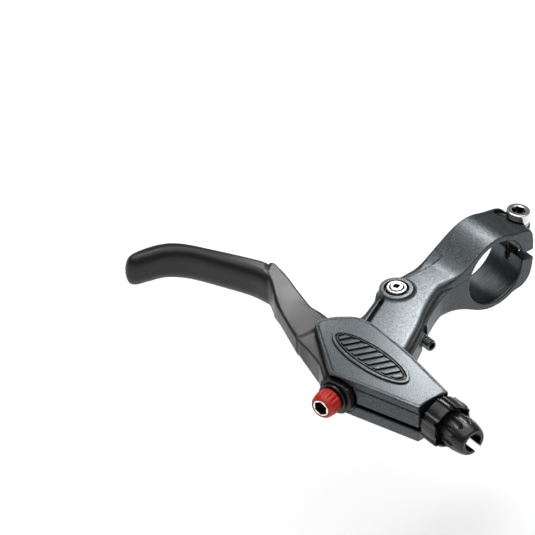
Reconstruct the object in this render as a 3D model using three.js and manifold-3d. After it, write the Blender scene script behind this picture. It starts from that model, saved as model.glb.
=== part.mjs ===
// Bicycle brake lever for a flat handlebar: a cast bracket that clamps round the bar, a two-finger
// blade on a vertical pivot, a screw that sets the leverage, and a cable adjuster in the nose.
// Millimetres. The origin is the centre of the clamp bore, +X runs along the bar towards the middle
// of the bike, +Y towards the rider and +Z up, along the lever's pivot.
import * as THREE from 'three';
import { mergeVertices } from 'three/addons/utils/BufferGeometryUtils.js';
import Module from 'manifold-3d';

const wasm = await Module();
wasm.setup();

// ---------------------------------------------------------------- driving dimensions
const BAR_RADIUS = 11.1;
const CLAMP_WIDTH = 14.6;
const CLAMP_RADIUS = 13.3;
const BORE_CHAMFER = 0.45;
const JAW_TILT = THREE.MathUtils.degToRad(7);
const JAW_BACK = 15.4;
const SLIT_LOW = 0.5;
const SLIT_HIGH = 3.5;
const SLIT_MIDDLE = (SLIT_HIGH + SLIT_LOW) / 2;
const BOLT_BACK = 13.2;
const BOLT_RADIUS = 1.95;
const HEAD_SEAT = 10;
const SEAT_RADIUS = 4.2;
const CROWN_RADIUS = 17.3;
const CROWN_TOP = 11.9;

const PIVOT_Y = -35;
const FLANGE_LOW = 6.8;
const PIN_RADIUS = 2.6;
const BUSH_RADIUS = 3.7;
const EYE_RADIUS = 6.3;

const HOUSING_TOP = 7;
const HOUSING_BOTTOM = -7.5;
const ARM_TOP = 6.3;
const SLOT_HALF = 5;
const PLATE_HALF = 4;
const BADGE_ANGLE = THREE.MathUtils.degToRad(3);

const DIAL_ORIGIN = new THREE.Vector3(20.4, -77.6, -0.6);
const DIAL_ANGLE = THREE.MathUtils.degToRad(14);
const DIAL_BOSS_RADIUS = 6.1;
const SPINDLE_RADIUS = 1.9;
const CARRIAGE_AT = 18.5;

const ADJUSTER_Y = -58.9;
const ADJUSTER_Z = -0.5;
const NOSE_END = 47.2;
const ADJUSTER_END = 63;
const SLOT_LEAN = THREE.MathUtils.degToRad(30);
const THREAD_RADIUS = 3.6;
const CABLE_SLOT = 1.6;

const REACH_Y = -36.6;
const REACH_Z = -3.1;
const REACH_RADIUS = 1.9;
const GAP = 0.3;

// ---------------------------------------------------------------- finishes
const finish = (color, roughness, metalness) =>
  new THREE.MeshStandardMaterial({ color, roughness, metalness });
const GREY_PAINT = finish(0x7d8285, 0.45, 0.6);
const BLACK_COAT = finish(0x1d1e20, 0.4, 0.3);
const STEEL = finish(0xc9cacb, 0.25, 1);
const DARK_STEEL = finish(0x2a2b2d, 0.4, 0.8);
const BRONZE = finish(0x9a7440, 0.5, 0.8);
const RED_PLASTIC = finish(0xb8342b, 0.4, 0);
const BLACK_PLASTIC = finish(0x161617, 0.3, 0);
const RUBBER = finish(0x101010, 0.8, 0);

// ---------------------------------------------------------------- frames
const X_AXIS = new THREE.Vector3(1, 0, 0);
const Y_AXIS = new THREE.Vector3(0, 1, 0);
const Z_AXIS = new THREE.Vector3(0, 0, 1);

const frame = (x, y, z, origin) => new THREE.Matrix4().makeBasis(x, y, z).setPosition(origin);

// Local z along the bar, local x towards the rider, local y up.
const barFrame = frame(Y_AXIS, Z_AXIS, X_AXIS, new THREE.Vector3());

// The clamp jaws lean back: local z is the bolt, local y runs back along the slit.
const jawUp = new THREE.Vector3(0, Math.sin(JAW_TILT), Math.cos(JAW_TILT));
const jawBack = new THREE.Vector3(0, Math.cos(JAW_TILT), -Math.sin(JAW_TILT));
const jawFrame = frame(X_AXIS, jawBack, jawUp, new THREE.Vector3());
const boltOrigin = jawBack.clone().multiplyScalar(BOLT_BACK);
const boltFrame = frame(X_AXIS, jawBack, jawUp, boltOrigin);

const pivotFrame = frame(X_AXIS, Y_AXIS, Z_AXIS, new THREE.Vector3(0, PIVOT_Y, 0));

// The dial's screw runs back into the blade: local z is the screw, local x inboard, local y down.
const dialBack = new THREE.Vector3(-Math.sin(DIAL_ANGLE), Math.cos(DIAL_ANGLE), 0);
const dialSide = new THREE.Vector3(Math.cos(DIAL_ANGLE), Math.sin(DIAL_ANGLE), 0);
const dialFrame = frame(dialSide, Z_AXIS.clone().negate(), dialBack, DIAL_ORIGIN);

// The adjuster's thread runs inboard: local x towards the rider, local y up.
const adjusterFrame = frame(Y_AXIS, Z_AXIS, X_AXIS, new THREE.Vector3(0, ADJUSTER_Y, ADJUSTER_Z));

const reachFrame = frame(Y_AXIS, Z_AXIS, X_AXIS, new THREE.Vector3(0, REACH_Y, REACH_Z));

function onDial(along, side) {
  const point = DIAL_ORIGIN.clone().addScaledVector(dialBack, along).addScaledVector(dialSide, side);
  return [point.x, point.y];
}

// ---------------------------------------------------------------- solids
function solid(geometry, placement = new THREE.Matrix4()) {
  const bare = geometry.clone().applyMatrix4(placement);
  bare.deleteAttribute('normal');
  bare.deleteAttribute('uv');
  const merged = mergeVertices(bare, 1e-4);
  const index = merged.index.array;
  const triangles = [];
  for (let i = 0; i < index.length; i += 3) {
    const [a, b, c] = [index[i], index[i + 1], index[i + 2]];
    if (a !== b && b !== c && c !== a) triangles.push(a, b, c);
  }
  return new wasm.Manifold(new wasm.Mesh({
    numProp: 3,
    vertProperties: new Float32Array(merged.attributes.position.array),
    triVerts: new Uint32Array(triangles),
  }));
}

// Outline from corner points [x, y] or [x, y, r], where r rounds the corner.
function outline(corners) {
  const shape = new THREE.Shape();
  const points = corners.map(([x, y, r = 0]) => ({ at: new THREE.Vector2(x, y), r }));
  points.forEach(({ at, r }, i) => {
    const before = points[(i + points.length - 1) % points.length].at;
    const after = points[(i + 1) % points.length].at;
    const enter = at.clone().addScaledVector(before.clone().sub(at).normalize(), r);
    const leave = at.clone().addScaledVector(after.clone().sub(at).normalize(), r);
    if (i === 0) shape.moveTo(enter.x, enter.y);
    else shape.lineTo(enter.x, enter.y);
    if (r > 0) shape.quadraticCurveTo(at.x, at.y, leave.x, leave.y);
  });
  shape.closePath();
  return shape;
}

function slab(shape, low, high, bevel = 0, placement = new THREE.Matrix4()) {
  const geometry = new THREE.ExtrudeGeometry(shape, {
    depth: high - low - 2 * bevel,
    bevelEnabled: bevel > 0,
    bevelSize: bevel,
    bevelThickness: bevel,
    bevelOffset: -bevel,
    bevelSegments: 1,
    curveSegments: 6,
  });
  geometry.translate(0, 0, low + bevel);
  return solid(geometry, placement);
}

// Turned solid about local z: profile points are [radius, z].
function turned(profile, sides, placement = new THREE.Matrix4()) {
  const points = profile.map(([r, z]) => new THREE.Vector2(r, z));
  const geometry = new THREE.LatheGeometry(points, sides);
  geometry.rotateX(Math.PI / 2);
  return solid(geometry, placement);
}

function rod(radius, low, high, sides, placement) {
  return turned([[0, low], [radius, low], [radius, high], [0, high]], sides, placement);
}

function sleeve(inner, outer, low, high, sides, placement) {
  return rod(outer, low, high, sides, placement).subtract(rod(inner, low - 1, high + 1, sides, placement));
}

function block(size, centre, placement) {
  const geometry = new THREE.BoxGeometry(...size);
  geometry.translate(...centre);
  return solid(geometry, placement);
}

function hexSocket(acrossFlats, low, high, placement) {
  return rod(acrossFlats / Math.sqrt(3), low, high, 6, placement);
}

// Rods set in a circle about local z, for flutes and notches.
function ringOf(count, radius, cutter, low, high, placement, start = 0) {
  let all = null;
  for (let i = 0; i < count; i += 1) {
    const angle = start + (i * 2 * Math.PI) / count;
    const centre = new THREE.Matrix4().makeTranslation(radius * Math.cos(angle), radius * Math.sin(angle), 0);
    const one = rod(cutter, low, high, 8, placement.clone().multiply(centre));
    all = all ? all.add(one) : one;
  }
  return all;
}

const group = new THREE.Group();
function part(name, body, material) {
  const { vertProperties, triVerts } = body.getMesh();
  const geometry = new THREE.BufferGeometry();
  geometry.setAttribute('position', new THREE.BufferAttribute(vertProperties, 3));
  geometry.setIndex(new THREE.BufferAttribute(triVerts, 1));
  geometry.computeVertexNormals();
  const mesh = new THREE.Mesh(geometry, material);
  mesh.name = name;
  group.add(mesh);
}

// ---------------------------------------------------------------- bracket
function clampRing() {
  const half = CLAMP_WIDTH / 2;
  const jaws = outline([
    [4, 12.4], [4, -10.2], [JAW_BACK, -10.2, 7.5], [JAW_BACK, 2], [14.8, 2], [14.6, 6, 2],
    [13.4, 10.6, 2], [9, 12.4, 2.5],
  ]);
  const jawSide = frame(jawBack, jawUp, X_AXIS, new THREE.Vector3());
  const crownPlan = outline([[-7, 4], [7, 4], [7, 13.8, 3], [-7, 13.8, 3]]);
  const crown = slab(crownPlan, SLIT_HIGH, CROWN_TOP, 0.4, jawFrame);
  return rod(CLAMP_RADIUS, -half, half, 48, barFrame)
    .add(slab(jaws, -half, half, 0, jawSide))
    .add(crown.intersect(rod(CROWN_RADIUS, -half, half, 48, barFrame)))
    .add(rod(SEAT_RADIUS, SLIT_HIGH, HEAD_SEAT, 32, boltFrame));
}

// Seat for the bolt head, with a pocket that opens it towards the front and outboard.
function headRecess() {
  const pocket = outline([[1.5, -2.3], [-1.5, 2.3], [-5.7, -0.5, 2], [-2.6, -5.1, 2]]);
  return rod(SEAT_RADIUS, HEAD_SEAT, 20, 32, boltFrame)
    .add(slab(pocket, HEAD_SEAT, 20, 0, boltFrame));
}

// Bore for the bar, opened out at both faces.
function clampBore() {
  const half = CLAMP_WIDTH / 2;
  const wide = BAR_RADIUS + BORE_CHAMFER;
  return turned([
    [0, -half - 1], [wide, -half - 1], [wide, -half], [BAR_RADIUS, BORE_CHAMFER - half],
    [BAR_RADIUS, half - BORE_CHAMFER], [wide, half], [wide, half + 1], [0, half + 1],
  ], 64, barFrame);
}

function arm() {
  const half = CLAMP_WIDTH / 2;
  const plan = outline([
    [-half, 0], [-half, -21, 3], [-7, -30, 2], [-7, -36.5, 2.5], [-3, -43, 3], [0, -49.7, 1], [2, -57],
    [26, -57], [24, -50.5, 2], [17, -38.5, 3], [12.8, -33, 2], [8.8, -26, 3], [half, -22, 2], [half, 0],
  ]);
  const side = outline([
    [0, 12.5], [-6.5, 10.9, 2], [-13.8, 7.4, 4], [-20, ARM_TOP + 0.1, 4], [-57, ARM_TOP],
    [-57, -6.7], [-20, -6.7, 4], [-13.5, -7.7, 3], [-6.5, -10.8, 2], [0, -12.5],
  ]);
  const sideSlab = slab(side, -20, 40, 0, barFrame);
  return slab(plan, -20, 20).intersect(sideSlab);
}

function housing() {
  const plan = outline([
    [-2.4, -58.4, 2], [1.9, -53, 2], [6.5, -51.4, 2], [24, -51.8, 6], [NOSE_END, -54.9], [NOSE_END, -66.6],
    [17.7, -76.6, 1], [-3.2, -65.1, 1], [-4.1, -62.6, 1.5],
  ]);
  return slab(plan, HOUSING_BOTTOM, HOUSING_TOP, 0.5);
}

function badge() {
  const rim = new THREE.EllipseCurve(20.2, -62.6, 15.9, 5.6, 0, 2 * Math.PI, false, BADGE_ANGLE);
  return slab(new THREE.Shape(rim.getPoints(40)), HOUSING_TOP - 1, HOUSING_TOP + 0.6);
}

// Space inside the arm and housing where the blade swings and the carriage slides.
function bladeSlot() {
  const room = outline([
    [6.5, -28.5, 1], [10.4, -34.5, 1], [14.8, -40, 1], [19.6, -46.5, 1], [22.6, -51.2, 1], [23.5, -54.9],
    [39, -55.9], [39, -67.6], [24.6, -72.2], [24.6, -82], [-30, -82], [-30, -33],
  ]);
  return slab(room, -SLOT_HALF, SLOT_HALF).add(rod(7.4, -SLOT_HALF, SLOT_HALF, 32, pivotFrame));
}

function dialOpening() {
  const sweep = outline([[23, -82], [21.4, -69.5], [14, -71.6], [6, -73.4], [2, -82]]);
  return rod(DIAL_BOSS_RADIUS + 0.6, -4, 9, 32, dialFrame)
    .add(slab(sweep, HOUSING_BOTTOM - 1, -SLOT_HALF + 0.5));
}

function bracket() {
  const solidBody = clampRing().add(arm()).add(housing()).add(badge())
    .add(turned([[0, -8], [4.6, -8], [5.2, -7.4], [5.2, 7.1], [4.9, 7.4], [0, 7.4]], 32, pivotFrame));
  return solidBody
    .subtract(clampBore())
    .subtract(block([2 * CLAMP_WIDTH, 14, SLIT_HIGH - SLIT_LOW], [0, 15, SLIT_MIDDLE], jawFrame))
    .subtract(rod(BOLT_RADIUS + GAP, -12, 16, 24, boltFrame))
    .subtract(headRecess())
    .subtract(bladeSlot())
    .subtract(dialOpening())
    .subtract(rod(PIN_RADIUS + 0.1, -5, 12, 32, pivotFrame))
    .subtract(rod(3.6, FLANGE_LOW - 0.2, 12, 32, pivotFrame))
    .subtract(rod(1.6, -12, 0, 20, pivotFrame))
    .subtract(rod(THREAD_RADIUS + GAP, 34, 52, 32, adjusterFrame))
    .subtract(block([20, CABLE_SLOT, 27], [-10, -1.7, 38], adjusterFrame))
    .subtract(rod(REACH_RADIUS + GAP, 8, 24, 24, reachFrame));
}

part('bracket', bracket(), GREY_PAINT);

// ---------------------------------------------------------------- clamp bolt and washer
part('clamp_washer', sleeve(BOLT_RADIUS + 0.2, 3.9, HEAD_SEAT + 0.1, HEAD_SEAT + 0.6, 32, boltFrame), STEEL);
const boltHead = HEAD_SEAT + 0.7;
part('clamp_bolt', turned([
  [0, -9.6], [1.5, -9.6], [BOLT_RADIUS, -9.1], [BOLT_RADIUS, boltHead], [3.75, boltHead],
  [3.75, boltHead + 3.7], [3.4, boltHead + 4], [0, boltHead + 4],
], 32, boltFrame).subtract(hexSocket(3.9, boltHead + 1.6, boltHead + 6, boltFrame)), STEEL);

// ---------------------------------------------------------------- reach screw
part('reach_screw', rod(REACH_RADIUS, 7.6, 18.8, 24, reachFrame)
  .subtract(hexSocket(2.2, 16.8, 20, reachFrame)), DARK_STEEL);

// ---------------------------------------------------------------- lever blade
function finger() {
  const shape = outline([
    [-29, -60.7, 2.4], [-36, -62.3, 3], [-55, -71.3, 4], [-61.4, -75.6, 4], [-63.3, -88.9, 1.6],
    [-68.5, -88.9, 2], [-68.5, -77.6, 5], [-63, -70.3, 3], [-41, -57.2, 2.5], [-36.6, -54.9, 2],
    [-30, -55.6, 2.4],
  ]);
  return slab(shape, -6, 6, 0.5);
}

function neck() {
  const shape = outline([
    [-35.5, -54.6, 1.9], [-28, -55.2, 3], [-22, -56.6, 3], [-13, -58.4, 2], [-4, -58.6], [-4, -71.6],
    [-11.8, -69.5, 2], [-17.3, -67.4, 2], [-23.5, -64.3, 2], [-27.4, -62.1], [-33, -59.4, 1.9],
  ]);
  return slab(shape, -SLOT_HALF, SLOT_HALF, 0.3);
}

// Slanted cut that thins the lower front edge of the neck and plate.
function frontSlope() {
  const along = new THREE.Vector3(0.944, -0.331, 0);
  const inward = new THREE.Vector3(0.331, 0.944, 0);
  const edge = frame(inward, Z_AXIS, along, new THREE.Vector3(-27.4, -62.1, 0));
  return slab(outline([[-6, -9], [3.4, -9], [2.9, -5], [0.3, 0.4], [-6, 0.4]]), 4, 30, 0, edge);
}

function bladePlate() {
  const plate = outline([
    [-5.2, -38], [-1.4, -43.5, 1], [0.8, -49.5, 1], [0.4, -54], [-3.6, -57.7], [-9, -57.9], [-9, -70.3],
    [-2.8, -71.9, 2], [2.4, -72.4, 2], [10, -74.2], onDial(1, -4.2), onDial(1, 5),
    onDial(6.5, 5), onDial(6.5, -4), onDial(26.5, -4), onDial(26.5, 3.6), onDial(30.3, 3.4),
    onDial(30.3, -3), [8.6, -44, 1], [7.3, -41], [7.3, -35.5],
  ]);
  return slab(plate, -PLATE_HALF, PLATE_HALF);
}

function leverBlade() {
  const bossTop = SLOT_HALF - 0.2 - DIAL_ORIGIN.z;
  const aboveBoss = block([20, 20, 10], [0, -10 - bossTop, 4], dialFrame);
  const besideBoss = block([6, 20, 10], [-8.1, 0, 4], dialFrame);
  const plate = neck().add(bladePlate()).subtract(frontSlope());
  return finger().add(plate)
    .add(rod(EYE_RADIUS, -PLATE_HALF, PLATE_HALF, 40, pivotFrame))
    .add(rod(DIAL_BOSS_RADIUS, 0.5, 6.5, 32, dialFrame).subtract(aboveBoss).subtract(besideBoss))
    .subtract(rod(BUSH_RADIUS + 0.1, -12, 12, 32, pivotFrame))
    .subtract(rod(5.4, -12, -1.5, 32, pivotFrame))
    .subtract(rod(SPINDLE_RADIUS + 0.15, -4, 36, 24, dialFrame))
    .subtract(rod(SPINDLE_RADIUS + 0.5, 0, 2.2, 24, dialFrame));
}

part('lever_blade', leverBlade(), BLACK_COAT);

// ---------------------------------------------------------------- pivot
part('upper_bush', sleeve(PIN_RADIUS + 0.05, BUSH_RADIUS, 0.1, PLATE_HALF, 32, pivotFrame), BRONZE);
part('lower_bush', sleeve(PIN_RADIUS + 0.05, BUSH_RADIUS, -PLATE_HALF, -0.1, 32, pivotFrame), BRONZE);
part('upper_washer', sleeve(PIN_RADIUS + 0.15, 5.4, 4.25, 4.75, 32, pivotFrame), STEEL);
part('pivot_pin', turned([
  [1.55, -4.8], [PIN_RADIUS, -4.8], [PIN_RADIUS, FLANGE_LOW], [3.2, FLANGE_LOW], [3.2, FLANGE_LOW + 0.8],
  [3, FLANGE_LOW + 1], [2.3, FLANGE_LOW + 1], [2.3, FLANGE_LOW - 0.2], [1.55, FLANGE_LOW - 0.2], [1.55, -4.8],
], 32, pivotFrame), STEEL);
part('pivot_screw', turned([
  [0, -7.6], [1.2, -7.6], [1.5, -7.2], [1.5, FLANGE_LOW], [2.05, FLANGE_LOW], [2.05, FLANGE_LOW + 1.1],
  [1.85, FLANGE_LOW + 1.3], [0, FLANGE_LOW + 1.3],
], 24, pivotFrame).subtract(hexSocket(2, FLANGE_LOW + 0.3, 10, pivotFrame)), STEEL);

// ---------------------------------------------------------------- return spring
class SpringLine extends THREE.Curve {
  constructor(radius, turns, low, high) {
    super();
    Object.assign(this, { radius, turns, low, high });
  }

  getPoint(t, target = new THREE.Vector3()) {
    const angle = 2 * Math.PI * this.turns * t;
    const height = THREE.MathUtils.lerp(this.low, this.high, t);
    return target.set(this.radius * Math.cos(angle), this.radius * Math.sin(angle), height);
  }
}

function returnSpring() {
  const wire = new THREE.Shape();
  wire.absarc(0, 0, 0.35, 0, 2 * Math.PI);
  const geometry = new THREE.ExtrudeGeometry(wire, {
    extrudePath: new SpringLine(4.65, 2.75, -4.4, -2.05),
    steps: 66,
    curveSegments: 4,
    bevelEnabled: false,
  });
  return solid(geometry, pivotFrame);
}

part('return_spring', returnSpring(), STEEL);

// ---------------------------------------------------------------- leverage dial
const knobFlutes = ringOf(16, 4.6, 0.55, -7, 0, dialFrame);
part('dial_knob', turned([
  [2.95, -6], [3.3, -6.1], [3.8, -5], [4.1, -3.2], [4.1, -1.4], [3.8, -0.8], [2.5, -0.8], [2.5, -2.2],
  [2.95, -2.2], [2.95, -6],
], 48, dialFrame).subtract(knobFlutes), RED_PLASTIC);
part('dial_spindle', turned([
  [0, -6.2], [2.65, -6.2], [2.8, -6], [2.8, -2.4], [SPINDLE_RADIUS, -2.4], [SPINDLE_RADIUS, 31.2],
  [1.3, 31.2], [1.3, 32], [SPINDLE_RADIUS, 32], [1.6, 32.8], [0, 32.8],
], 24, dialFrame).subtract(hexSocket(3.7, -8, -3.6, dialFrame)), STEEL);
part('dial_collar', sleeve(SPINDLE_RADIUS + 0.2, 4.85, -0.6, 0.35, 32, dialFrame), BLACK_PLASTIC);
part('dial_o_ring', sleeve(SPINDLE_RADIUS + 0.08, SPINDLE_RADIUS + 0.45, 0.6, 1.6, 24, dialFrame), RUBBER);
part('spindle_clip', sleeve(1.4, 3, 31.35, 31.85, 24, dialFrame)
  .subtract(block([1.8, 8, 2], [0, 4, 31.6], dialFrame)), DARK_STEEL);

function cableCarriage() {
  const headBore = new THREE.CylinderGeometry(2.6, 2.6, 20, 24).translate(5.3, 0, CARRIAGE_AT);
  return block([10.4, 7.2, 6.4], [1.8, 0, CARRIAGE_AT], dialFrame)
    .subtract(rod(SPINDLE_RADIUS + 0.1, 0, 40, 24, dialFrame))
    .subtract(solid(headBore, dialFrame))
    .subtract(block([10, 1.8, 2.2], [10, 0, CARRIAGE_AT], dialFrame));
}

part('cable_carriage', cableCarriage(), BRONZE);

// ---------------------------------------------------------------- cable adjuster
const leaning = adjusterFrame.clone().multiply(new THREE.Matrix4().makeRotationZ(SLOT_LEAN));
const cableSlot = block([2.2, 20, 40], [0, -10, 55], leaning);
const barrelFlutes = ringOf(11, 7, 1.7, 54.5, 66, adjusterFrame, 0.25);
part('barrel_adjuster', turned([
  [0, 38], [THREAD_RADIUS, 38], [THREAD_RADIUS, 51.5], [4.8, 52.5], [5.4, 54.5], [5.5, 57], [5.2, 60.5],
  [4.2, ADJUSTER_END], [0, ADJUSTER_END],
], 44, adjusterFrame)
  .subtract(barrelFlutes)
  .subtract(rod(1.6, 30, 70, 24, adjusterFrame))
  .subtract(rod(3, 56, 70, 32, adjusterFrame))
  .subtract(cableSlot), BLACK_PLASTIC);
part('lock_ring', turned([
  [THREAD_RADIUS + 0.1, NOSE_END + GAP], [7.6, NOSE_END + GAP], [7.8, NOSE_END + 1], [7.7, 51.2], [6.9, 53.4],
  [6.3, 53.4], [6.3, 49.6], [THREAD_RADIUS + 0.1, 49.6], [THREAD_RADIUS + 0.1, NOSE_END + GAP],
], 48, adjusterFrame).subtract(ringOf(6, 8.9, 1.7, 46, 56, adjusterFrame, 0.5)), BLACK_PLASTIC);

export default group;
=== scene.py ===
# Studio scene of a bicycle brake lever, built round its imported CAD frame. Each visible piece is a
# distance field made of smooth unions and cuts, meshed in volume cells, or a turned or swept mesh.
# Shapes are in millimetres in the part's own frame, and meshes come out in metres.
import math

import bmesh
import bpy
import numpy as np
import openvdb
from mathutils import Matrix, Vector


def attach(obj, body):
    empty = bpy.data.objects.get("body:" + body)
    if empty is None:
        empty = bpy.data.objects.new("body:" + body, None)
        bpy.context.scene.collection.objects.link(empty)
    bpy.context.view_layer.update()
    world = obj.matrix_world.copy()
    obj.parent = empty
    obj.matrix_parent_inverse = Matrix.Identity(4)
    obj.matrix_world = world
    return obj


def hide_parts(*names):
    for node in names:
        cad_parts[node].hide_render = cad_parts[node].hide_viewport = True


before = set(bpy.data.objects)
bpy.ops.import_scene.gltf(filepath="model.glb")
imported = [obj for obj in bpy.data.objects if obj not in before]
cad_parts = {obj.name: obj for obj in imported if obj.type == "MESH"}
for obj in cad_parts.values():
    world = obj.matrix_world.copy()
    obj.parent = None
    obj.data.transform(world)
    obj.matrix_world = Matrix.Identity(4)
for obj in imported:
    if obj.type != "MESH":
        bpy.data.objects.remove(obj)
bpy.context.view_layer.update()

MM = 0.001

# ---------------------------------------------------------------- driving dimensions, millimetres
BAR_RADIUS = 11.1
CLAMP_HALF = 7.3
CLAMP_RADIUS = 13.3
BORE_CHAMFER = 0.45
JAW_TILT = math.radians(7)
JAW_BACK = 15.4
SLIT_LOW = 0.5
SLIT_HIGH = 3.5
BOLT_BACK = 13.2
BOLT_RADIUS = 1.95
HEAD_SEAT = 10.0
HEAD_RADIUS = 3.75
CROWN_TOP = 11.9
CROWN_RADIUS = 17.2
HEAD_HEIGHT = 4.0
SEAT_RADIUS = 4.2

PIVOT_Y = -35.0
FLANGE_LOW = 6.8
PIN_RADIUS = 2.6
BUSH_RADIUS = 3.7
EYE_RADIUS = 6.3

HOUSING_TOP = 7.0
HOUSING_BOTTOM = -7.5
ARM_TOP = 6.3
ARM_BOTTOM = -6.7
SLOT_HALF = 5.0
PLATE_HALF = 4.0
BADGE_CENTRE = (20.2, -62.6)
BADGE_RADII = (15.9, 5.6)
BADGE_ANGLE = math.radians(3)
RIB_PITCH = 3.1

DIAL_ORIGIN = (20.4, -77.6, -0.6)
DIAL_ANGLE = math.radians(14)
DIAL_BOSS_RADIUS = 6.1
SPINDLE_RADIUS = 1.9
CARRIAGE_AT = 18.5

ADJUSTER_Y = -58.9
ADJUSTER_Z = -0.5
NOSE_END = 47.2
THREAD_RADIUS = 3.6
CABLE_SLOT = 1.6
SLOT_LEAN = math.radians(30)

REACH_Y = -36.6
REACH_Z = -3.1
REACH_RADIUS = 1.9
GAP = 0.3

COARSE = 1.0


# ---------------------------------------------------------------- distance fields
def ramp(low, high, value):
    t = np.clip((value - low) / (high - low), 0, 1)
    return t * t * (3 - 2 * t)


def join(a, b, soft=0.0):
    if np.isscalar(soft) and soft <= 0:
        return np.minimum(a, b)
    h = np.maximum(soft - np.abs(a - b), 0) / soft
    return np.minimum(a, b) - h * h * soft / 4


def meet(a, b, soft=0.0):
    return -join(-a, -b, soft)


def cut(a, b, soft=0.0):
    return -join(-a, b, soft)


def slab(flat, height, low, high, edge=0.0):
    """Outline field made solid from low to high, with its edges rounded by edge."""
    tall = np.abs(height - (low + high) / 2) - (high - low) / 2 + edge
    flat = flat + edge
    outside = np.hypot(np.maximum(flat, 0), np.maximum(tall, 0))
    return np.minimum(np.maximum(flat, tall), 0) + outside - edge


def rod(across, along, radius, low, high, edge=0.0):
    return slab(across - radius, along, low, high, edge)


def brick(x, y, z, centre, size, edge=0.0):
    steps = [np.abs(v - c) - s / 2 + edge for v, c, s in zip((x, y, z), centre, size)]
    outside = sum(np.maximum(s, 0) ** 2 for s in steps) ** 0.5
    inside = np.minimum(np.maximum(np.maximum(steps[0], steps[1]), steps[2]), 0)
    return inside + outside - edge


def rounded(corners, steps=6):
    """Outline points from corners (x, y) or (x, y, r), where r rounds the corner."""
    points = []
    count = len(corners)
    for i, corner in enumerate(corners):
        at = Vector(corner[:2])
        r = corner[2] if len(corner) > 2 else 0
        if r == 0:
            points.append(tuple(at))
            continue
        enter = at + (Vector(corners[i - 1][:2]) - at).normalized() * r
        leave = at + (Vector(corners[(i + 1) % count][:2]) - at).normalized() * r
        for k in range(steps + 1):
            t = k / steps
            points.append(tuple(enter * (1 - t) ** 2 + at * 2 * t * (1 - t) + leave * t * t))
    return points


def flowing(points, steps=6):
    """Closed smooth outline through every point."""
    found = []
    count = len(points)
    for i in range(count):
        p0, p1, p2, p3 = (Vector(points[(i + k) % count]) for k in (-1, 0, 1, 2))
        for k in range(steps):
            t = k / steps
            found.append(tuple(0.5 * (2 * p1 + (p2 - p0) * t + (2 * p0 - 5 * p1 + 4 * p2 - p3) * t * t
                                      + (3 * p1 - p0 - 3 * p2 + p3) * t ** 3)))
    return found


def outline(px, py, points):
    """Signed distance to a closed outline, negative inside."""
    nearest = np.full(np.broadcast(px, py).shape, 1e9, dtype=np.float32)
    inside = np.zeros(nearest.shape, dtype=bool)
    for (ax, ay), (bx, by) in zip(points, points[1:] + points[:1]):
        ex, ey = bx - ax, by - ay
        length = ex * ex + ey * ey
        if length < 1e-12:
            continue
        t = np.clip(((px - ax) * ex + (py - ay) * ey) / length, 0, 1)
        nearest = np.minimum(nearest, (px - ax - ex * t) ** 2 + (py - ay - ey * t) ** 2)
        if ay != by:
            inside ^= ((ay > py) != (by > py)) & (px < ax + (py - ay) * ex / ey)
    return np.where(inside, -1, 1) * np.sqrt(nearest)


def hexagon(x, y, across_flats):
    found = np.abs(x)
    for k in (1, 2):
        angle = k * math.pi / 3
        found = np.maximum(found, np.abs(x * math.cos(angle) + y * math.sin(angle)))
    return found - across_flats / 2


def flutes(x, y, count, radius, size, start=0.0):
    """Distance to the nearest of a ring of straight round rods."""
    pitch = 2 * math.pi / count
    angle = np.arctan2(y, x) - start
    folded = angle - pitch * np.round(angle / pitch)
    reach = np.hypot(x, y)
    return np.hypot(reach * np.cos(folded) - radius, reach * np.sin(folded)) - size


class Space:
    """A block of cells, in millimetres, on which fields are worked out and meshed."""

    def __init__(self, low, high, cell):
        self.cell = cell * COARSE
        self.low = np.array(low, dtype=np.float64)
        counts = np.ceil((np.array(high) - self.low) / self.cell).astype(int) + 1
        axes = [(self.low[i] + self.cell * np.arange(counts[i])).astype(np.float32) for i in range(3)]
        self.x = axes[0][:, None, None]
        self.y = axes[1][None, :, None]
        self.z = axes[2][None, None, :]
        self.shape = tuple(counts)

    def slopes(self, field, points):
        """The field's slope at points, per cell."""
        found = np.zeros_like(points)
        for axis in range(3):
            for side in (-1, 1):
                at = points.copy()
                at[:, axis] += side * 0.6
                found[:, axis] += side * self.sample(field, at) / 1.2
        return found

    def sample(self, field, at):
        at = np.clip(at, 0, np.array(self.shape) - 1.001)
        base = at.astype(int)
        part = at - base
        found = 0
        for corner in np.ndindex(2, 2, 2):
            weight = np.prod(np.where(corner, part, 1 - part), axis=1)
            index = base + corner
            found = found + weight * field[index[:, 0], index[:, 1], index[:, 2]]
        return found

    def mesh(self, name, field, placement=Matrix.Identity(4)):
        field = np.broadcast_to(field, self.shape)
        band = 3 * self.cell
        grid = openvdb.FloatGrid(band)
        grid.copyFromArray(np.ascontiguousarray(np.clip(field, -band, band), dtype=np.float32))
        points, quads = grid.convertToQuads()
        slopes = self.slopes(field, points)
        steep = np.maximum(np.linalg.norm(slopes, axis=1, keepdims=True), 1e-9)
        normals = slopes / steep
        level = self.sample(field, points)[:, None]
        places = (points - normals * np.clip(level / steep, -0.4, 0.4)) * self.cell + self.low
        turn = np.array(placement.to_3x3())
        places = (places @ turn.T + np.array(placement.translation)) * MM
        data = bpy.data.meshes.new(name)
        data.from_pydata(places.tolist(), [], quads.tolist())
        data.validate()
        data.shade_smooth()
        data.normals_split_custom_set_from_vertices((normals @ turn.T).tolist())
        return place(name, data)


def place(name, data):
    piece = bpy.data.objects.new(name, data)
    bpy.context.scene.collection.objects.link(piece)
    return piece


def second_finish(piece, placement, chosen):
    """Faces whose middle, in millimetres in placement's frame, is chosen take the second material."""
    centres = np.empty(len(piece.data.polygons) * 3)
    piece.data.polygons.foreach_get("center", centres)
    to_local = np.array(placement.inverted())
    local = centres.reshape(-1, 3) / MM @ to_local[:3, :3].T + to_local[:3, 3]
    piece.data.polygons.foreach_set("material_index", chosen(*local.T).astype(np.int32))


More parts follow.
